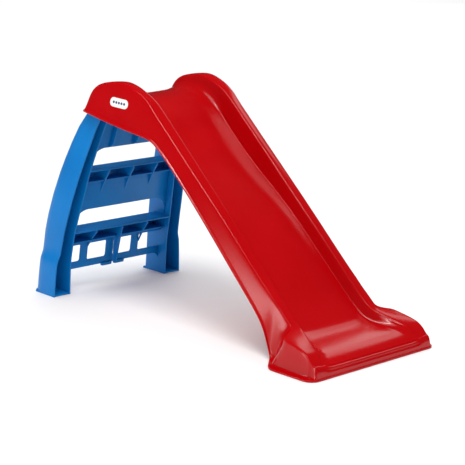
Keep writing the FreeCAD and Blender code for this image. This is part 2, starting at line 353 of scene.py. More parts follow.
class Wire:
    """A shader socket that adds Math nodes when it is used in an expression."""

    def __init__(self, tree: "Recipe", socket: bpy.types.NodeSocket) -> None:
        """Keeps the recipe that the socket belongs to."""
        self.tree, self.socket = tree, socket

    def _math(self, operation: str, first: object, second: object = None) -> "Wire":
        """One Math node on two values."""
        inputs = {0: first} if second is None else {0: first, 1: second}
        return self.tree.node("ShaderNodeMath", {"operation": operation}, inputs)

    def __add__(self, other: object) -> "Wire":
        """Sum."""
        return self._math("ADD", self, other)

    __radd__ = __add__

    def __mul__(self, other: object) -> "Wire":
        """Product."""
        return self._math("MULTIPLY", self, other)

    __rmul__ = __mul__

    def __sub__(self, other: object) -> "Wire":
        """Difference."""
        return self._math("SUBTRACT", self, other)

    def __rsub__(self, other: object) -> "Wire":
        """Difference the other way round."""
        return self._math("SUBTRACT", other, self)

    def smooth(self, low: float, high: float) -> "Wire":
        """0 below low and 1 above high, eased between them."""
        limits = {"Value": self, "From Min": low, "From Max": high}
        return self.tree.node("ShaderNodeMapRange", {"interpolation_type": "SMOOTHSTEP"}, limits)


class Recipe:
    """A node-based material under construction."""

    def __init__(self, name: str) -> None:
        """Makes an empty material with a principled shader."""
        self.material = bpy.data.materials.new(name)
        self.material.use_nodes = True
        self.tree = self.material.node_tree
        self.shader = next(n for n in self.tree.nodes if n.type == "BSDF_PRINCIPLED")

    def node(
        self, kind: str, settings: dict | None = None, inputs: dict | None = None, output: object = 0
    ) -> Wire:
        """Adds a node.

        Args:
            kind: The node's type.
            settings: Attributes, set before its sockets.
            inputs: Values or wires by socket name or number.
            output: The output's name or number.

        Returns:
            The chosen output as a wire.
        """
        made = self.tree.nodes.new(kind)
        for key, value in (settings or {}).items():
            setattr(made, key, value)
        for key, value in (inputs or {}).items():
            self.plug(made.inputs[key], value)
        return Wire(self, made.outputs[output])

    def plug(self, socket: bpy.types.NodeSocket, value: object) -> None:
        """Links a wire to a socket, or sets a plain value on it.

        Args:
            socket: The socket.
            value: A wire, a number or a colour.
        """
        if isinstance(value, Wire):
            self.tree.links.new(value.socket, socket)
        else:
            socket.default_value = value

    def set(self, **values: object) -> None:
        """Sets the shader's sockets, their names written with underscores."""
        for key, value in values.items():
            self.plug(self.shader.inputs[key.replace("_", " ")], value)

    def noise(self, where: Wire, scale: float, detail: float = 2.0, roughness: float = 0.5) -> Wire:
        """A noise pattern.

        Args:
            where: The place that it is read at.
            scale: How fine it is.
            detail: How many finer layers it has.
            roughness: How strong the finer layers are.

        Returns:
            Its value.
        """
        return self.node(
            "ShaderNodeTexNoise", {"noise_dimensions": "3D"},
            {"Vector": where, "Scale": scale, "Detail": detail, "Roughness": roughness},
        )

    def blend(self, amount: object, first: object, second: object) -> Wire:
        """A colour between two.

        Args:
            amount: 0 for the first and 1 for the second.
            first: A colour.
            second: A colour.

        Returns:
            The mixed colour.
        """
        factor, colour_a, colour_b, result = 0, 6, 7, 2
        inputs = {factor: amount, colour_a: first, colour_b: second}
        return self.node("ShaderNodeMix", {"data_type": "RGBA"}, inputs, result)

    def stretched(self, where: Wire, scale: tuple[float, float, float]) -> Wire:
        """A place whose axes are each scaled."""
        return self.node("ShaderNodeMapping", {}, {"Vector": where, "Scale": scale})


Colour = tuple[float, float, float, float]


@dataclass(frozen=True)
class MouldedPlastic:
    """A moulded polyethylene with a faint flow pattern, an orange-peel skin and light play wear."""

    name: str
    colour: Colour
    deep: Colour
    worn: Colour
    roughness: float
    peel: float
    wear: float
    specular: float = 0.3
    peel_depth: float = 0.0006
    streak_stretch: tuple[float, float, float] = (2.0, 26.0, 2.0)
    scuff_stretch: tuple[float, float, float] = (6.0, 90.0, 30.0)

    def material(self) -> bpy.types.Material:
        """The finish as a material.

        Returns:
            The material.
        """
        recipe = Recipe(self.name)
        where = recipe.node("ShaderNodeTexCoord", output="Object")
        flow = recipe.noise(where, 5.0, 3.0, 0.55)
        streaks = recipe.noise(recipe.stretched(where, self.streak_stretch), 3.0, 4.0, 0.6)
        base = recipe.blend(flow.smooth(0.38, 0.66), self.deep, self.colour)
        scuffs = recipe.noise(recipe.stretched(where, self.scuff_stretch), 9.0, 5.0, 0.7)
        scuffed = scuffs.smooth(0.66, 0.78) * self.wear
        rubbed = recipe.node("ShaderNodeNewGeometry", output="Pointiness").smooth(0.53, 0.60) * self.wear
        marked = recipe.node("ShaderNodeClamp", {}, {"Value": scuffed + rubbed * 0.6})
        colour = recipe.blend(marked, base, self.worn)
        rough = self.roughness + (flow - 0.5) * 0.10 + (streaks - 0.5) * 0.06 + marked * 0.18
        peel = recipe.noise(where, 420.0, 2.0, 0.5)
        swell = recipe.noise(where, 34.0, 2.0, 0.5)
        height = peel * 0.35 + swell * 0.65
        skin = {"Strength": self.peel, "Distance": self.peel_depth, "Height": height}
        bump = recipe.node("ShaderNodeBump", {}, skin)
        recipe.set(Base_Color=colour, Roughness=rough, Normal=bump)
        recipe.shader.inputs["IOR"].default_value = 1.5
        recipe.shader.inputs["Specular IOR Level"].default_value = self.specular
        return recipe.material


@dataclass(frozen=True)
class LabelFilm:
    """A glossy white film label with a plain navy row of dots, on object coordinates in metres."""

    name: str
    centre: tuple[float, float]
    tilt: float
    ground: Colour = (0.86, 0.86, 0.84, 1.0)
    fleck_tint: Colour = (0.78, 0.79, 0.8, 1.0)
    ink: Colour = (0.01, 0.03, 0.12, 1.0)
    pitch: float = 0.0088
    dot: float = 0.0033
    row_reach: float = 0.022
    blur: float = 0.0003

    def material(self) -> bpy.types.Material:
        """The finish as a material.

        Returns:
            The material.
        """
        recipe = Recipe(self.name)
        where = recipe.node("ShaderNodeTexCoord", output="Object")
        turned = recipe.node(
            "ShaderNodeMapping", {"vector_type": "TEXTURE"},
            {
                "Vector": where, "Location": (self.centre[0], 0.0, self.centre[1]),
                "Rotation": (0.0, self.tilt, 0.0),
            },
        )
        split = recipe.tree.nodes.new("ShaderNodeSeparateXYZ")
        recipe.plug(split.inputs[0], turned)
        along, up = Wire(recipe, split.outputs[0]), Wire(recipe, split.outputs[2])
        half = self.pitch / 2
        folded = recipe.node("ShaderNodeMath", {"operation": "PINGPONG"}, {0: along + half, 1: half})
        offset = recipe.node("ShaderNodeCombineXYZ", {}, {0: folded - half, 1: up, 2: 0.0})
        from_dot = recipe.node("ShaderNodeVectorMath", {"operation": "LENGTH"}, {0: offset}, "Value")
        inside = 1 - from_dot.smooth(self.dot - self.blur, self.dot + self.blur)
        span = recipe.node("ShaderNodeMath", {"operation": "ABSOLUTE"}, {0: along})
        row = inside * (1 - span.smooth(self.row_reach - 0.0002, self.row_reach + 0.0002))
        fleck = recipe.noise(where, 900.0, 2.0, 0.5)
        ground = recipe.blend(fleck.smooth(0.3, 0.8) * 0.25, self.ground, self.fleck_tint)
        recipe.set(Base_Color=recipe.blend(row, ground, self.ink), Roughness=0.28 + fleck * 0.08)
        return recipe.material


RED = MouldedPlastic(
    "red_polyethylene", (0.45, 0.0002, 0.0024, 1.0), (0.42, 0.0002, 0.0020, 1.0), (0.50, 0.010, 0.014, 1.0),
    roughness=0.17, peel=0.07, wear=0.06, specular=0.30,
)
BLUE = MouldedPlastic(
    "blue_polyethylene", (0.002, 0.180, 0.52, 1.0), (0.0015, 0.160, 0.48, 1.0), (0.04, 0.22, 0.54, 1.0),
    roughness=0.30, peel=0.12, wear=0.10, specular=0.20,
)
ACETAL = MouldedPlastic(
    "black_acetal", (0.02, 0.02, 0.022, 1.0), (0.015, 0.015, 0.017, 1.0), (0.08, 0.08, 0.08, 1.0),
    roughness=0.42, peel=0.08, wear=0.2,
)


def coat_with(piece: bpy.types.Object, material: bpy.types.Material) -> None:
    """Gives a piece one material."""
    piece.data.materials.clear()
    piece.data.materials.append(material)


# ------------------------------------------------------------------ chute


@dataclass
class Chute:
    """The red moulding: deck, bed, side rails with their humps and skirts, nose and floor flange."""

    wall: float = 3.2
    bead: float = 3.2
    foot_run: float = 812.0
    corner_radius: float = 27.0
    rim_height: float = 5.0
    band_lift: float = 0.6
    shade_angle: float = 50.0
    # Each row: run, bed middle height, bed half width, bed edge height, inner top half width and
    # height, outer top half width and height, skirt half width and lower edge height.
    stations: tuple[tuple[float, ...], ...] = (
        (130, 497, 121, 498.5, 129, 514, 157.5, 514, 174.5, 492),
        (134, 506, 120.5, 508, 128, 526, 158.5, 526, 175.8, 491.6),
        (140, 517, 120, 519, 127, 538, 160, 538, 177, 491),
        (155, 527, 119, 531, 126, 556, 161, 556, 178, 489),
        (180, 533, 116, 540, 125, 570, 162, 570, 178, 485),
        (215, 535, 114, 545, 124, 577, 162, 578, 177.5, 479),
        (250, 533, 113, 541, 123, 581, 160, 582, 176, 473),
        (285, 523, 113, 528, 123, 574, 158, 575, 173, 467),
        (320, 503, 113, 506, 123, 560, 155, 562, 169, 461),
        (345, 483, 113, 484, 122.5, 546, 153, 545, 166, 457),
        (370, 460, 113, 461, 122.3, 526, 152.5, 521, 164.5, 452),
        (415, 421, 113, 421, 122.3, 486, 152.5, 481, 164, 423),
        (470, 376, 113, 376, 122.3, 437, 152.5, 432, 164, 376),
        (568, 306, 113, 306, 122.3, 349, 152.5, 346, 164, 283),
        (643, 243, 113, 243, 122.3, 282, 152.5, 279, 165, 210),
        (720, 174, 113, 174, 123, 213, 152.5, 208, 166, 135),
        (770, 129, 113, 129, 123.5, 167, 152.5, 163, 167, 85),
        (790, 111, 114, 111, 124, 148, 152.5, 146, 168, 52),
        (805, 97, 114, 98, 124.5, 134, 152.5, 132, 169, 14),
        (830, 76, 115, 78, 125, 111, 153, 111, 171, 5),
        (850, 62, 116, 64, 125.5, 95, 153, 94, 172, 5),
        (858, 58.5, 117, 61, 127, 90, 154, 87, 172, 5),
        (866, 55, 118.5, 58, 129, 85, 155, 79.5, 172, 5),
        (885, 51, 123, 53, 136, 77, 159, 73.5, 172, 5),
        (915, 47.5, 132, 49, 149, 66, 168, 68, 174, 5),
        (940, 44.5, 141, 45.5, 160, 57, 178, 61, 182, 5),
        (951, 41.5, 145, 42.5, 165, 51.5, 184, 56, 187, 5),
        (965, 35.5, 150, 36.5, 172, 42, 191, 46, 194, 5),
        (978, 28, 157, 28.5, 179, 31, 197, 33, 200, 5),
    )
    # The boss at each front corner: run, half width at its top edge and at the flange.
    boss: tuple[tuple[float, float, float], ...] = (
        (850, 192, 207), (870, 197, 209), (887, 202, 211), (915, 204, 212), (945, 207, 213),
        (965, 207, 213), (978, 206, 212),
    )
    boss_start: float = 857.0
    boss_lean: float = 0.40
    boss_length: float = 26.0
    boss_height: float = 92.0
    nose_depth: float = 10.5
    nose_corner: float = 159.0
    nose_blend: float = 14.0
    rings: tuple[float, ...] = (
        130, 131, 134, 140, 148, 158, 170, 185, 205, 228, 250, 270, 290, 310, 328, 341, 349, 362, 378,
        396, 418, 445, 480, 530, 590, 650, 705, 745, 770, 786, 796, 804, 812, 820, 828, 835, 841, 847,
        853, 859, 865, 871, 878, 888, 902, 918, 932, 942, 950, 958, 966, 973, 976.5, 978,
    )
    # How the front rolls over below the lip: the run, and the height as a share of the lip's.
    nose_rolls: tuple[tuple[float, float], ...] = (
        (979.3, 0.95), (979.9, 0.86), (981.2, 0.82), (983.4, 0.81), (984.8, 0.76), (985.6, 0.52),
        (986.4, 0.46), (987.6, 0.44), (988.3, 0.38), (988.6, 0.10), (989.0, 0.02),
    )
    tracks: list[Track] = field(default_factory=list, init=False)

    def __post_init__(self) -> None:
        """Turns the stations, the boss and the edges' easings into smooth tracks."""
        runs = [row[0] for row in self.stations]
        self.tracks = [
            Track([(run, row[column]) for run, row in zip(runs, self.stations)]) for column in range(1, 10)
        ]
        self.flange_edge = Track(
            ((812, 176), (830, 199), (848, 219), (864, 227.5), (880, HALF_WIDTH), (990, HALF_WIDTH)))
        self.boss_top = Track([(run, top) for run, top, _ in self.boss])
        self.boss_foot = Track([(run, foot) for run, _, foot in self.boss])
        self.bead_grow = Track(((130, 0.05), (150, 0.3), (190, 1.0), (780, 1.0), (812, 0.5)))
        self.edge_ease = Track(((126, 5.5), (300, 6.0), (360, 4.2), (800, 3.8), (880, 4.5), (978, 3.0)))
        self.crease_ease = Track(
            ((126, 26), (290, 30), (325, 22), (348, 4), (400, 3), (800, 3.5), (860, 8), (978, 10)))

    def section(self, run: float) -> list[tuple[float, float]]:
        """Half of the cross-section at a run, from the bed's middle out to the skirt's edge or the flange.

        Args:
            run: How far forward the section is.

        Returns:
            Points as distance across and height.
        """
        middle, bed_half, bed_edge, in_half, in_top, out_half, out_top, skirt_half, skirt_low = (
            track(run) for track in self.tracks
        )
        ease = self.crease_ease(run)
        wall_rise, wall_lean = in_top - bed_edge, in_half - bed_half
        slope = min(ease / max(wall_rise, 1), 0.45)
        edge = min(self.edge_ease(run), wall_rise * 0.3)
        skirt_drop = out_top - skirt_low
        lip = min(7.0, skirt_drop * 0.25)
        lean = (skirt_half - out_half) / max(skirt_drop, 1)
        points = [
            (0, middle),
            (bed_half * 0.42, middle + (bed_edge - middle) * 0.16),
            (bed_half * 0.74, middle + (bed_edge - middle) * 0.48),
            (bed_half - ease, bed_edge - (bed_edge - middle) * 0.2 * (ease / 30)),
            (bed_half - ease * 0.12, bed_edge + ease * 0.12),
            (bed_half + wall_lean * slope, bed_edge + wall_rise * slope),
            (bed_half + wall_lean * 0.62, bed_edge + wall_rise * 0.62),
            (in_half - 1.2, in_top - edge),
            (in_half + 1.0, in_top - edge * 0.25),
            (in_half + 1.0 + edge, in_top),
            ((in_half + out_half) / 2, (in_top + out_top) / 2 + self.band_lift),
            (out_half - 1.0 - edge, out_top),
            (out_half - 1.0, out_top - edge * 0.25),
            (out_half + lean * edge, out_top - edge),
            (out_half + lean * skirt_drop * 0.45, out_top - skirt_drop * 0.45),
        ]
        bead = self.bead * self.bead_grow(run)
        if run < self.foot_run:
            points += [
                (skirt_half - lean * lip * 1.6, skirt_low + lip * 1.6),
                (skirt_half - lean * lip, skirt_low + lip),
                (skirt_half + bead * 0.8, skirt_low + lip * 0.72),
                (skirt_half + bead, skirt_low + lip * 0.25),
                (skirt_half + bead * 0.5, skirt_low),
                (skirt_half - 1.0, skirt_low + 0.4),
            ]
        else:
            points += [
                (skirt_half - lean * 16, skirt_low + 16),
                (skirt_half - lean * 4, skirt_low + 3),
                (skirt_half + 2.5, skirt_low + 0.2),
            ]
            shift = self.swell(run, out_half, out_top - edge, out_top)[0] - out_half
            band = [(y + shift * share, z) for (y, z), share in zip(points[10:14], (0.5, 1.0, 1.0, 1.0))]
            points = points[:10] + band + [self.swell(run, y, z, out_top) for y, z in points[14:]]
            flange = max(self.flange_edge(run), points[-1][0] + 2.0)
            points += [(flange - 1.2, skirt_low), (flange, skirt_low - 1.0), (flange, 0.5)]
        return points

    def swell(self, run: float, across: float, height: float, top: float) -> tuple[float, float]:
        """Pushes a point of the skirt out where the front corner's boss covers it.

        Args:
            run: The section's run.
            across: The point's distance across on the plain skirt.
            height: The point's height.
            top: The height of the skirt's top edge here.

        Returns:
            The point's distance across and height.
        """
        depth = min(max((top - height) / max(top - 5.0, 1.0), 0.0), 1.0)
        full = self.boss_top(run) * (1 - depth) + self.boss_foot(run) * depth
        share = (run - self.boss_start + (self.boss_height - height) * self.boss_lean) / self.boss_length
        share = min(max(share, 0.0), 1.0)
        share = share * share * (3 - 2 * share)
        return across + max(full - across, 0.0) * share, height

    def rounded(self, run: float, across: float) -> tuple[float, float]:
        """Eases a plan position near the foot's front corners round the corner's arc.

        Args:
            run: The position's run.
            across: Its distance across.

        Returns:
            The eased run and distance across.
        """
        deep, wide = run - (LENGTH - self.corner_radius), abs(across) - (HALF_WIDTH - self.corner_radius)
        if deep <= 0 or wide <= 0:
            return run, across
        scale = max(deep, wide) / math.hypot(deep, wide)
        sign = 1 if across > 0 else -1
        run = LENGTH - self.corner_radius + deep * scale
        return run, sign * (HALF_WIDTH - self.corner_radius + wide * scale)

    def rows(self) -> list[list[Vector]]:
        """Every ring of the sheet from the deck's rear edge to the flange's front edge.

        Returns:
            Rings of points in the frame, each from the right edge to the left.
        """
        made = []
        for run in self.rings:
            half = self.section(run)
            made.append([(run, -y, z) for y, z in reversed(half[1:])] + [(run, y, z) for y, z in half])
        lip = made[-1]
        base = self.rim_height
        for index, (run, share) in enumerate(self.nose_rolls, start=1):
            turn = math.radians(90 * index / len(self.nose_rolls))
            round_run = lip[0][0] + self.nose_depth * math.sin(turn)
            round_share = max(math.cos(turn), 0.02) ** 0.9
            row = []
            for _, y, z in lip:
                inside = min(max((abs(y) - self.nose_corner) / self.nose_blend, 0.0), 1.0)
                at_run = run + (round_run - run) * inside
                part = share + (round_share - share) * inside
                row.append((at_run, y, base + (z - base) * part if z > base else z))
            made.append(row)
        made.append([(LENGTH - 1.0, y, min(z, base)) for _, y, z in made[-1]])
        made.append([(LENGTH, y, min(z, base - 1.0)) for _, y, z in made[-1]])
        made.append([(LENGTH, y, 0.5) for _, y, _ in made[-1]])
        rows = []
        for row in made:
            placed = []
            for run, y, z in row:
                run, y = self.rounded(run, y)
                placed.append(place(run, y, z))
            rows.append(placed)
        return rows

    def build(self) -> bpy.types.Object:
        """Drapes a flat sheet over the form, smooths it and gives it its wall.

        Returns:
            The moulding.
        """
        rows = self.rows()
        across, along = len(rows[0]), len(rows)
        deselect_all()
        bpy.ops.mesh.primitive_grid_add(x_subdivisions=along - 1, y_subdivisions=across - 1, size=1.0)
        piece = take_new("chute_moulding")
        for vertex in piece.data.vertices:
            ring = round((vertex.co.x + 0.5) * (along - 1))
            column = round((vertex.co.y + 0.5) * (across - 1))
            vertex.co = rows[ring][column]
        apply_modifier(piece, "SUBSURF", levels=2, render_levels=2)
        face_outwards(piece, merge=0.000001)
        self.face_up(piece)
        apply_modifier(piece, "SOLIDIFY", thickness=self.wall * MM, offset=-1.0, use_even_offset=True,
                       thickness_clamp=0.9, use_thickness_angle_clamp=True)
        for vertex in piece.data.vertices:
            vertex.co.z = max(vertex.co.z, 0.0)
        activate(piece)
        bpy.ops.object.shade_smooth_by_angle(angle=math.radians(self.shade_angle))
        return piece

    @staticmethod
    def face_up(piece: bpy.types.Object) -> None:
        """Turns the open sheet so that its bed faces up.

        Args:
            piece: The sheet.
        """
        bed = min(piece.data.polygons, key=lambda p: abs(p.center.y) + abs(p.center.x))
        if bed.normal.z < 0:
            flip(piece)

    def dress(self, piece: bpy.types.Object, red: bpy.types.Material) -> None:
        """Colours the chute and says what it stands for.

        Args:
            piece: The moulding.
            red: Its material.
        """
        coat_with(piece, red)
        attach(piece, "slide")
        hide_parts("chute_bed", "left_side_rail", "right_side_rail", "foot_flange", "foot_nose")


# ------------------------------------------------------------------ ladder


@dataclass
class RailForm:
    """The shared lines of the ladder's rails: rear and front runs and half widths by height."""

    setback: float = 20.0
    lattice_setback: float = 30.0
    # Each row: height, rear run, front run, outer half width, inner half width.
    stations: tuple[tuple[float, ...], ...] = (
        (0, 8, 89.4, 226.5, 170),
        (60, 10, 90, 223.5, 170),
        (92, 11, 91.5, 220, 170),
        (112, 12, 94, 213, 169.5),
        (167, 16, 103, 209.5, 168),
        (210, 23, 112, 206, 164),
        (265, 35, 124, 200, 158),
        (322, 48.5, 136, 190, 152),
        (405, 75, 157, 174, 140),
        (448, 94, 170, 167, 134),
        (485, 119, 186, 162, 130),
        (525, 153, 201, 158, 130),
        (545, 167, 203, 157, 130),
        (554, 172, 200, 156, 130),
        (561, 176, 196, 156, 130),
    )

    def __post_init__(self) -> None:
        """Makes a smooth track of each line."""
        self.rear, self.front, self.outer, self.inner = (
            Track([(row[0], row[column]) for row in self.stations]) for column in range(1, 5)
        )

    def panel(self, height: float) -> float:
        """The run of the panels' front face at a height."""
        return self.front(height) - self.setback


RAILS = RailForm()


@dataclass
class LadderRail:
    """One side of the ladder: a channel open to the front, on a foot with a lip at its rear."""

    side: Side
    wall: float = 4.0
    sole: float = 4.5
    cap_level: float = 555.0
    cap: float = 4.5
    eye_radius: float = 11.0
    eye_length: float = 25.0
    eye_across: float = 143.5
    slim_depth: float = 44.0
    levels: tuple[float, ...] = (
        0, 4, 30, 60, 80, 92, 100, 112, 130, 167, 210, 265, 322, 360, 405, 448, 485, 505, 525, 545, 552, 557,
    )

    def channel(self, height: float) -> list[Vector]:
        """The channel's outline at a height.

        Args:
            height: The height.

        Returns:
            The outline's corners; the roundings shrink where the rail is slim.
        """
        rear, front = RAILS.rear(height), RAILS.front(height)
        outer, inner = RAILS.outer(height), RAILS.inner(height)
        wall = self.wall
        ease = min((front - rear) / self.slim_depth, 1.0)
        points = [
            (front, outer),
            (rear + 26 * ease, outer - 1.5),
            (rear + 12 * ease, outer - 4),
            (rear + 3.5 * ease, outer - 9),
            (rear, outer - 17),
            (rear, inner + 5),
            (rear + 2, inner + 1.2),
            (rear + 6 * ease, inner),
            (front, inner),
            (front, inner + wall),
            (rear + 6 * ease + wall, inner + wall),
            (rear + wall, inner + wall + 3),
            (rear + wall, outer - 18),
            (rear + 5 * ease + wall, outer - 12),
            (rear + 13 * ease + wall, outer - 5.5 - wall / 2),
            (front, outer - wall),
        ]
        return [place(run, self.side.value * y, height) for run, y in points]

    def foot_plate(self) -> bpy.types.Object:
        """The sole inside the foot, with its short lip behind.

        Returns:
            The sole.
        """
        outer, inner, front = RAILS.outer(0), RAILS.inner(0), RAILS.front(0)
        outline = [
            (front - 2, outer - 1.5), (12, outer - 2.5), (1.5, outer - 14), (0, outer - 20), (0, inner + 3),
            (2, inner), (front - 2, inner + 1),
        ]
        points = [place(run, self.side.value * y, 0.0) for run, y in outline]
        plate = extruded_plate(f"{self.side.name.lower()}_foot_plate", points, Vector((0, 0, self.sole * MM)))
        round_edges(plate, 1.2)
        return plate

    def build(self) -> bpy.types.Object:
        """Extrudes the channel up its levels, then adds the sole, the top cap and the hinge eye.

        Returns:
            The rail.
        """
        name = f"{self.side.name.lower()}_rail"
        channel = extrude_stack(name, [self.channel(z) for z in self.levels])
        round_edges(channel, 1.3, 40.0)
        rear, front = RAILS.rear(self.cap_level) + 4, RAILS.front(self.cap_level) - 1
        outer, inner = RAILS.outer(self.cap_level) - 2, RAILS.inner(self.cap_level) + 2
        corners = ((front, outer), (rear, outer), (rear, inner), (front, inner))
        cap = extruded_plate(
            f"{name}_cap", [place(run, self.side.value * y, self.cap_level - 3) for run, y in corners],
            Vector((0, 0, self.cap * MM)),
        )
        pin_low, pin_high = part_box(f"{self.side.name.lower()}_hinge_pin")
        axis = (pin_low + pin_high) / 2
        deselect_all()
        bpy.ops.mesh.primitive_cylinder_add(
            vertices=40, radius=self.eye_radius * MM, depth=self.eye_length * MM,
            rotation=(math.pi / 2, 0, 0), location=(axis.x, self.side.value * self.eye_across * MM, axis.z))
        eye = take_new(f"{name}_eye")
        round_edges(eye, 0.8)
        return join([channel, self.foot_plate(), cap, eye], f"ladder_rail_{self.side.name.lower()}")

    def dress(self, piece: bpy.types.Object, blue: bpy.types.Material) -> None:
        """Colours the rail and says what it stands for.

        Args:
            piece: The rail.
            blue: Its material.
        """
        coat_with(piece, blue)
        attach(piece, "ladder")
        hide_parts(f"{self.side.name.lower()}_ladder_rail")


@dataclass
class Tread:
    """A tread: a tray open to the front, with three ribs and their gussets.

    tips holds each rib's lowest height and its run there, from the right to the left.
    """

    level: Level
    rib_pitch: float
    tips: tuple[tuple[float, float], ...]
    wall: float = 4.0
    rib: float = 4.6
    sweep: float = 17.0
    side_reach: float = 2.0

    def build(self) -> bpy.types.Object:
        """Extrudes the tray's section from rail to rail, then adds the ribs.

        Returns:
            The tread.
        """
        name = f"{self.level.value}_tread"
        low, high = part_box(name)
        rear, front = low.x / MM - REAR, high.x / MM - REAR
        floor, top = low.z / MM, high.z / MM
        back = front - RAILS.setback
        tray = [
            (rear, top - 2.5), (rear + 0.8, top - 0.8), (rear + 2.5, top), (front, top),
            (front, top - self.wall), (rear + self.wall, top - self.wall),
            (rear + self.wall, floor + self.wall), (back, floor + self.wall), (back, floor), (rear, floor),
        ]
        ends = [
            [place(run, sign * (RAILS.inner(z) + self.side_reach), z) for run, z in tray] for sign in (-1, 1)
        ]
        shelf = extrude_stack(f"{name}_tray", ends)
        round_edges(shelf, 1.1)
        parts = [shelf]
        for index, tip in zip((-1, 0, 1), self.tips):
            rib = self.scooped_rib(index * self.rib_pitch, rear, front, floor, top, tip)
            round_edges(rib, 0.8, 40.0, 2)
            parts.append(rib)
        return join(parts, f"ladder_{name}")

    def dress(self, piece: bpy.types.Object, blue: bpy.types.Material) -> None:
        """Colours the tread and says what it stands for.

        Args:
            piece: The tread.
            blue: Its material.
        """
        coat_with(piece, blue)
        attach(piece, "ladder")
        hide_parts(f"{self.level.value}_tread")


    def scooped_rib(
        self, middle: float, rear: float, front: float, floor: float, top: float, tip: tuple[float, float]
    ) -> bpy.types.Object:
        """A rib whose near face sweeps into the tray's rear wall, and whose gusset tapers to a tip.

        Args:
            middle: The rib's place across.
            rear: The tread's rear run.
            front: The tread's front run.
            floor: The tray's underside.
            top: The tread's top.
            tip: The gusset's lowest height, and its run there.

        Returns:
            The rib.
        """
        high = top - 10
        levels = [
            top - 2, high, (high + floor) / 2, floor + self.wall, floor - 2, (floor + tip[0]) / 2, tip[0],
        ]
        outlines = []
        for z in levels:
            share = min(max((high - z) / (high - tip[0]), 0.0), 1.0)
            nose = front - 3 + (tip[1] - front + 3) * share ** 0.85
            back = rear + 2 if z > floor else min(RAILS.panel(z), nose) - 2
            back = min(back, nose - 2)
            depth = nose - back
            sweep = self.sweep * min(depth / 55.0, 1.0)
            near, far = middle - self.rib / 2, middle + self.rib / 2
            outline = [place(back, far, z), place(nose, far, z), place(nose, near, z)]
            for step in range(1, 7):
                turn = math.radians(15 * step)
                outline.append(place(
                    nose - depth * math.sin(turn), near - sweep * (1 - math.cos(turn)), z))
            outlines.append(outline)
        return extrude_stack("rib", outlines)


@dataclass
class ArchedPanel:
    """A panel between the rails whose lower corners run down beside an opening in wide curves."""

    node: str
    opening_top: float
    corner: float = 46.0
    wall: float = 4.0
    side_reach: float = 2.5
    stiffener_places: tuple[float, ...] = ()

    def build(self) -> bpy.types.Object:
        """Fills the arched outline, cuts it into strips and bends it to the rails' line.

        Returns:
            The panel.
        """
        low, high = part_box(self.node)
        floor, top = low.z / MM + 1, high.z / MM + 3
        inner = RAILS.inner(self.opening_top)
        centre = (inner - self.corner + 2, self.opening_top - self.corner)
        bend = arc(centre, self.corner, 90, 0, 10)
        half = bend + [(RAILS.inner(floor) + 1.0, floor), (RAILS.inner(floor) + self.side_reach, floor)]
        steps = 8
        rise = [floor + (top - floor) * i / steps for i in range(1, steps + 1)]
        half += [(RAILS.inner(z) + self.side_reach, z) for z in rise]
        outline = half + [(-y, z) for y, z in reversed(half)]
        deselect_all()
        bpy.ops.mesh.primitive_circle_add(vertices=len(outline), radius=0.1, fill_type="NGON")
        piece = take_new(f"ladder_{self.node}")
        for vertex, (y, z) in zip(piece.data.vertices, outline):
            vertex.co = place(0, y, z)
        for height in rise[:-1] + [self.opening_top + 4, floor + 8, floor + 24]:
            cut_across((0, 0, height * MM), (0, 0, 1))
        for vertex in piece.data.vertices:
            vertex.co.x = place(RAILS.panel(vertex.co.z / MM), 0, 0).x
        apply_modifier(piece, "SOLIDIFY", thickness=self.wall * MM, offset=-1.0)
        self.keep_behind(piece)
        face_outwards(piece)
        round_edges(piece, 1.2, 40.0, 2)
        stiffeners = [self.stiffener(y) for y in self.stiffener_places]
        return join([piece, *stiffeners], f"ladder_{self.node}")

    def stiffener(self, middle: float) -> bpy.types.Object:
        """An upright rib on the panel's front whose foot flares out over the opening's edge.

        Args:
            middle: The rib's middle, as a distance across.

        Returns:
            The rib.
        """
        low = self.opening_top + 1
        rises = ((0, 3.0, 9.0), (4, 9.0, 5.5), (12, 13.0, 3.4), (30, 14.0, 3.0), (90, 11.0, 3.0))
        outlines = []
        for rise, depth, width in rises:
            z = low + rise
            front = RAILS.panel(z)
            outlines.append([
                place(run, middle + y, z) for run, y in (
                    (front - 2, -width / 2 - 1), (front + depth, -width / 2), (front + depth, width / 2),
                    (front - 2, width / 2 + 1))
            ])
        rib = extrude_stack("stiffener", outlines)
        round_edges(rib, 0.9, 40.0, 2)
        return rib

    def keep_behind(self, piece: bpy.types.Object) -> None:
        """Moves the wall behind the panel's front face if it was made in front.

        Args:
            piece: The panel.
        """
        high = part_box(self.node)[1]
        reach = max(v.co.x for v in piece.data.vertices) - high.x
        if reach > self.wall * MM / 2:
            for vertex in piece.data.vertices:
                vertex.co.x -= self.wall * MM

    def dress(self, piece: bpy.types.Object, blue: bpy.types.Material) -> None:
        """Colours the panel and says what it stands for.

        Args:
            piece: The panel.
            blue: Its material.
        """
        coat_with(piece, blue)
        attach(piece, "ladder")
        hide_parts(self.node)


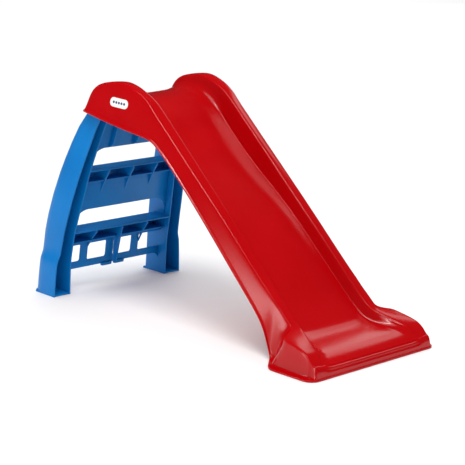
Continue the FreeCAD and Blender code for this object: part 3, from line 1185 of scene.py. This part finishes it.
@dataclass
class Lattice:
    """The bar between the feet with its posts, windows and two storage tabs."""

    bar: float = 18.5
    post: float = 25.0
    pitch: float = 91.0
    offset: float = -12.0
    window_top: float = 121.5
    corner: float = 6.0
    wall: float = 4.0
    tab_width: float = 36.0
    tab_offset: float = 22.0
    tab_drop: float = 6.0
    tab_depth: float = 8.8
    fillet: float = 24.0

    def build(self) -> bpy.types.Object:
        """Cuts windows out of a sheet, rounds their corners and bends it to the rails' line.

        Returns:
            The lattice.
        """
        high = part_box("lower_lattice")[1].z / MM
        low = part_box("lower_lattice")[0].z / MM + self.tab_drop
        edge = RAILS.inner(low) + 2
        posts = [self.offset + p * self.pitch + s * self.post / 2 for p in (-1, 0, 1) for s in (-1, 1)]
        columns = [-edge] + posts + [edge]
        levels = [low, low + self.bar, self.window_top, high + 2]
        deselect_all()
        bpy.ops.mesh.primitive_grid_add(
            x_subdivisions=len(columns) - 1, y_subdivisions=len(levels) - 1, size=1.0)
        piece = take_new("ladder_lower_lattice")
        for vertex in piece.data.vertices:
            column = round((vertex.co.x + 0.5) * (len(columns) - 1))
            row = round((vertex.co.y + 0.5) * (len(levels) - 1))
            vertex.co = place(0, columns[column], levels[row])
        activate(piece)

        def is_window(face: bpy.types.MeshPolygon) -> bool:
            """Whether a cell of the sheet is a window.

            Args:
                face: The cell.

            Returns:
                True for a window.
            """
            y, z = face.center.y / MM, face.center.z / MM
            near_post = any(abs(y - self.offset - p * self.pitch) < self.post / 2 for p in (-1, 0, 1))
            return low + self.bar < z < self.window_top and not near_post

        select_where(piece, "polygons", is_window)
        bpy.ops.mesh.delete(type="FACE")
        bpy.ops.object.mode_set(mode="OBJECT")
        select_where(
            piece, "vertices", lambda v: low + 1 < v.co.z / MM < high and abs(v.co.y) / MM < edge - 1)
        bpy.ops.mesh.bevel(offset=self.corner * MM, segments=5, affect="VERTICES")
        bpy.ops.object.mode_set(mode="OBJECT")
        for vertex in piece.data.vertices:
            vertex.co.x = place(RAILS.front(vertex.co.z / MM) - RAILS.lattice_setback, 0, 0).x
        apply_modifier(piece, "SOLIDIFY", thickness=self.wall * MM, offset=0.0)
        for vertex in piece.data.vertices:
            vertex.co.x -= self.wall * MM / 2
        face_outwards(piece)
        round_edges(piece, 1.0, 40.0, 2)
        parts = [piece]
        for sign in (-1, 1):
            parts.append(self.end_fillet(sign, low, edge))
            half = self.tab_width / 2
            outline = [
                (-half, low + 2), (-half + 2, low - self.tab_drop), (half - 2, low - self.tab_drop),
                (half, low + 2),
            ]
            rear = RAILS.front(low) - RAILS.lattice_setback - self.wall
            corners = [place(rear, sign * self.tab_offset + y, z) for y, z in outline]
            tab = extruded_plate("tab", corners, Vector((self.tab_depth * MM, 0, 0)))
            round_edges(tab, 0.8)
            parts.append(tab)
        return join(parts, "ladder_lower_lattice")

    def end_fillet(self, sign: int, low: float, edge: float) -> bpy.types.Object:
        """The curved web under one end of the bar, where it arches down into the foot.

        Args:
            sign: 1 for the left end and -1 for the right.
            low: The bar's underside.
            edge: How far out the bar reaches.

        Returns:
            The web.
        """
        radius = self.fillet
        curve = arc((edge - radius, low - radius), radius, 0, 90, 8)
        outline = [(edge + 1, low - radius), *curve, (edge - radius, low + 3), (edge + 1, low + 3)]
        rear = RAILS.front(low) - RAILS.lattice_setback - self.wall
        corners = [place(rear, sign * y, z) for y, z in outline]
        web = extruded_plate("end_fillet", corners, Vector((self.wall * MM, 0, 0)))
        round_edges(web, 0.8, 40.0, 2)
        return web

    def dress(self, piece: bpy.types.Object, blue: bpy.types.Material) -> None:
        """Colours the lattice and says what it stands for.

        Args:
            piece: The lattice.
            blue: Its material.
        """
        coat_with(piece, blue)
        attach(piece, "ladder")
        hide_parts("lower_lattice")


# ------------------------------------------------------------------ small pieces


@dataclass
class CheekLabel:
    """A rounded label that lies on the cheek."""

    side: Side
    length: float = 60.0
    height: float = 23.0
    tilt: float = 3.0
    lift: float = 0.45
    cut_steps: int = 5
    cut_along: float = 6.0
    cut_up: float = 5.0
    beyond: float = 250.0

    def build(self, chute: bpy.types.Object) -> bpy.types.Object:
        """Draws the label flat, lays it on the chute's skin and gives it its film's thickness.

        Args:
            chute: The moulding that it lies on.

        Returns:
            The label.
        """
        low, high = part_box(f"{self.side.name.lower()}_label")
        centre = (low + high) / 2
        radius = self.height / 2 - 1
        far = self.length / 2 - radius
        outline = []
        for cx, cz, start in ((far, 1.0, 90), (far, -1.0, 0), (-far, -1.0, -90), (-far, 1.0, -180)):
            outline += arc((cx, cz), radius, start, start - 90, 8)
        deselect_all()
        bpy.ops.mesh.primitive_circle_add(vertices=len(outline), radius=0.1, fill_type="NGON")
        piece = take_new(f"cheek_label_{self.side.name.lower()}")
        turn = math.radians(-self.tilt)
        for vertex, (x, z) in zip(piece.data.vertices, outline):
            vertex.co = Vector((
                centre.x + (x * math.cos(turn) - z * math.sin(turn)) * MM,
                self.side.value * self.beyond * MM,
                centre.z + (x * math.sin(turn) + z * math.cos(turn)) * MM,
            ))
        for step in range(-self.cut_steps, self.cut_steps + 1):
            cut_across((centre.x + step * self.cut_along * MM, 0, 0), (1, 0, 0))
            cut_across((0, 0, centre.z + step * self.cut_up * MM), (0, 0, 1))
        for vertex in piece.data.vertices:
            hit, point, _, _ = chute.ray_cast(vertex.co, Vector((0, -self.side.value, 0)))
            if hit:
                vertex.co.y = point.y + self.side.value * self.lift * MM
        outward = Vector((0, self.side.value, 0))
        face_outwards(piece)
        if piece.data.polygons[0].normal.dot(outward) < 0:
            flip(piece)
        apply_modifier(piece, "SOLIDIFY", thickness=self.lift * MM, offset=-1.0)
        activate(piece)
        bpy.ops.object.shade_smooth_by_angle(angle=SMOOTH_ANGLE)
        return piece

    def dress(self, piece: bpy.types.Object) -> None:
        """Prints the label and says what it stands for.

        Args:
            piece: The label.
        """
        low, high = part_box(f"{self.side.name.lower()}_label")
        centre = (low + high) / 2
        film = LabelFilm(
            f"label_film_{self.side.name.lower()}", centre=(centre.x, centre.z),
            tilt=math.radians(self.tilt))
        coat_with(piece, film.material())
        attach(piece, "slide")
        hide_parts(f"{self.side.name.lower()}_label")


# ------------------------------------------------------------------ studio


@dataclass(frozen=True)
class Lamp:
    """A soft rectangular lamp, seen in reflections or not."""

    name: str
    at: tuple[float, float, float]
    size: tuple[float, float]
    power: float
    in_gloss: bool = True

    def hang(self, target: Vector) -> None:
        """Hangs the lamp so that it faces a target.

        Args:
            target: Where it faces.
        """
        data = bpy.data.lights.new(self.name, "AREA")
        data.shape, data.size, data.size_y, data.energy = "RECTANGLE", *self.size, self.power
        lamp = bpy.data.objects.new(self.name, data)
        bpy.context.scene.collection.objects.link(lamp)
        lamp.visible_camera, lamp.visible_glossy = False, self.in_gloss
        lamp.location = self.at
        lamp.rotation_mode = "QUATERNION"
        lamp.rotation_quaternion = (target - Vector(self.at)).to_track_quat("-Z", "Y")


@dataclass
class Studio:
    """A pale floor, soft light and the camera."""

    lens: float = 132.0
    camera_at: tuple[float, float, float] = (2.8852, -2.9926, 1.2154)
    azimuth: float = 43.971
    pitch: float = 13.422
    roll: float = 2.332
    shift: tuple[float, float] = (0.0081, -0.0014)
    sensor: float = 36.0
    sky_strength: float = 0.66
    sky_gloss: float = 0.03
    lamp_target: tuple[float, float, float] = (0.0, 0.0, 0.3)
    lamps: tuple[Lamp, ...] = (
        Lamp("key", (0.6, -2.4, 6.4), (4.0, 4.0), 158.0),
        Lamp("overhead_strip", (0.65, -0.75, 2.5), (1.05, 0.16), 19.0),
        Lamp("rear_strip", (-1.25, 2.3, 1.4), (0.8, 0.5), 1.7),
        Lamp("rim", (-0.5, 2.1, 1.75), (0.9, 0.5), 2.2),
        Lamp("low_panel", (-0.5, -1.75, 0.12), (0.5, 0.26), 3.6),
        Lamp("backdrop", (-4.2, 6.0, 5.5), (7.0, 7.0), 300.0, in_gloss=False),
    )

    def camera(self) -> None:
        """Sets the camera where the viewer stands."""
        a, p, r = (math.radians(v) for v in (self.azimuth, self.pitch, self.roll))
        forward = Vector((-math.sin(a) * math.cos(p), math.cos(a) * math.cos(p), -math.sin(p)))
        right = Vector((math.cos(a), math.sin(a), 0))
        up = right.cross(forward)
        turned_right = right * math.cos(r) + up * math.sin(r)
        turned_up = up * math.cos(r) - right * math.sin(r)
        data = bpy.data.cameras.new("camera")
        data.lens, data.sensor_width = self.lens, self.sensor
        data.shift_x, data.shift_y = self.shift
        data.clip_end = 100.0
        camera = bpy.data.objects.new("camera", data)
        bpy.context.scene.collection.objects.link(camera)
        turn = Matrix((turned_right, turned_up, -forward)).transposed().to_4x4()
        camera.matrix_world = Matrix.Translation(Vector(self.camera_at)) @ turn
        bpy.context.scene.camera = camera

    def floor(self) -> None:
        """Lays a wide pale floor."""
        deselect_all()
        bpy.ops.mesh.primitive_plane_add(size=60.0, location=(0, 0, -0.0002))
        floor = take_new("floor")
        recipe = Recipe("pale_floor")
        where = recipe.node("ShaderNodeTexCoord", output="Object")
        mottle = recipe.noise(where, 3.0)
        recipe.set(
            Base_Color=recipe.blend(mottle, (0.90, 0.90, 0.90, 1.0), (0.92, 0.92, 0.92, 1.0)), Roughness=0.9)
        coat_with(floor, recipe.material)

    def sky(self) -> None:
        """Surrounds the stage with a plain wall that is dimmer in reflections, where the lamps show."""
        world = bpy.data.worlds.new("studio")
        bpy.context.scene.world = world
        world.use_nodes = True
        nodes, links = world.node_tree.nodes, world.node_tree.links
        ground = nodes["Background"]
        ground.inputs["Color"].default_value = (1.0, 1.0, 1.0, 1.0)
        path, level = nodes.new("ShaderNodeLightPath"), nodes.new("ShaderNodeMapRange")
        level.inputs["To Min"].default_value = self.sky_strength
        level.inputs["To Max"].default_value = self.sky_gloss
        links.new(path.outputs["Is Glossy Ray"], level.inputs["Value"])
        links.new(level.outputs[0], ground.inputs["Strength"])

    def build(self) -> None:
        """Sets the whole stage."""
        self.camera()
        self.floor()
        self.sky()
        for lamp in self.lamps:
            lamp.hang(Vector(self.lamp_target))
        scene = bpy.context.scene
        scene.view_settings.view_transform = "Standard"
        scene.view_settings.look = "None"


# ------------------------------------------------------------------ the whole


def report(piece: bpy.types.Object) -> None:
    """Logs a piece's name and its number of faces."""
    LOG.info("%s: %d faces", piece.name, len(piece.data.polygons))


def main() -> None:
    """Builds and dresses every piece in order."""
    logging.basicConfig(level=logging.INFO, format="%(message)s")
    Studio().build()
    red, blue, acetal = RED.material(), BLUE.material(), ACETAL.material()
    chute = Chute()
    moulding = chute.build()
    chute.dress(moulding, red)
    report(moulding)
    for side in Side:
        label = CheekLabel(side)
        film = label.build(moulding)
        label.dress(film)
        report(film)
        rail = LadderRail(side)
        made = rail.build()
        rail.dress(made, blue)
        report(made)
        coat_with(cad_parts[f"{side.name.lower()}_hinge_pin"], acetal)
    pieces = (
        Tread(Level.LOWER, rib_pitch=91.0, tips=((112.0, 63.0), (58.0, 76.0), (101.0, 64.0))),
        Tread(Level.UPPER, rib_pitch=85.0, tips=((266.0, 104.0), (265.0, 104.0), (268.0, 105.0))),
        ArchedPanel("upper_panel", opening_top=222.5),
        ArchedPanel("top_panel", opening_top=390.0, stiffener_places=(-84.0, 0.0, 84.0)),
        Lattice(),
    )
    for piece in pieces:
        made = piece.build()
        piece.dress(made, blue)
        report(made)


if __name__ == "__main__":
    main()
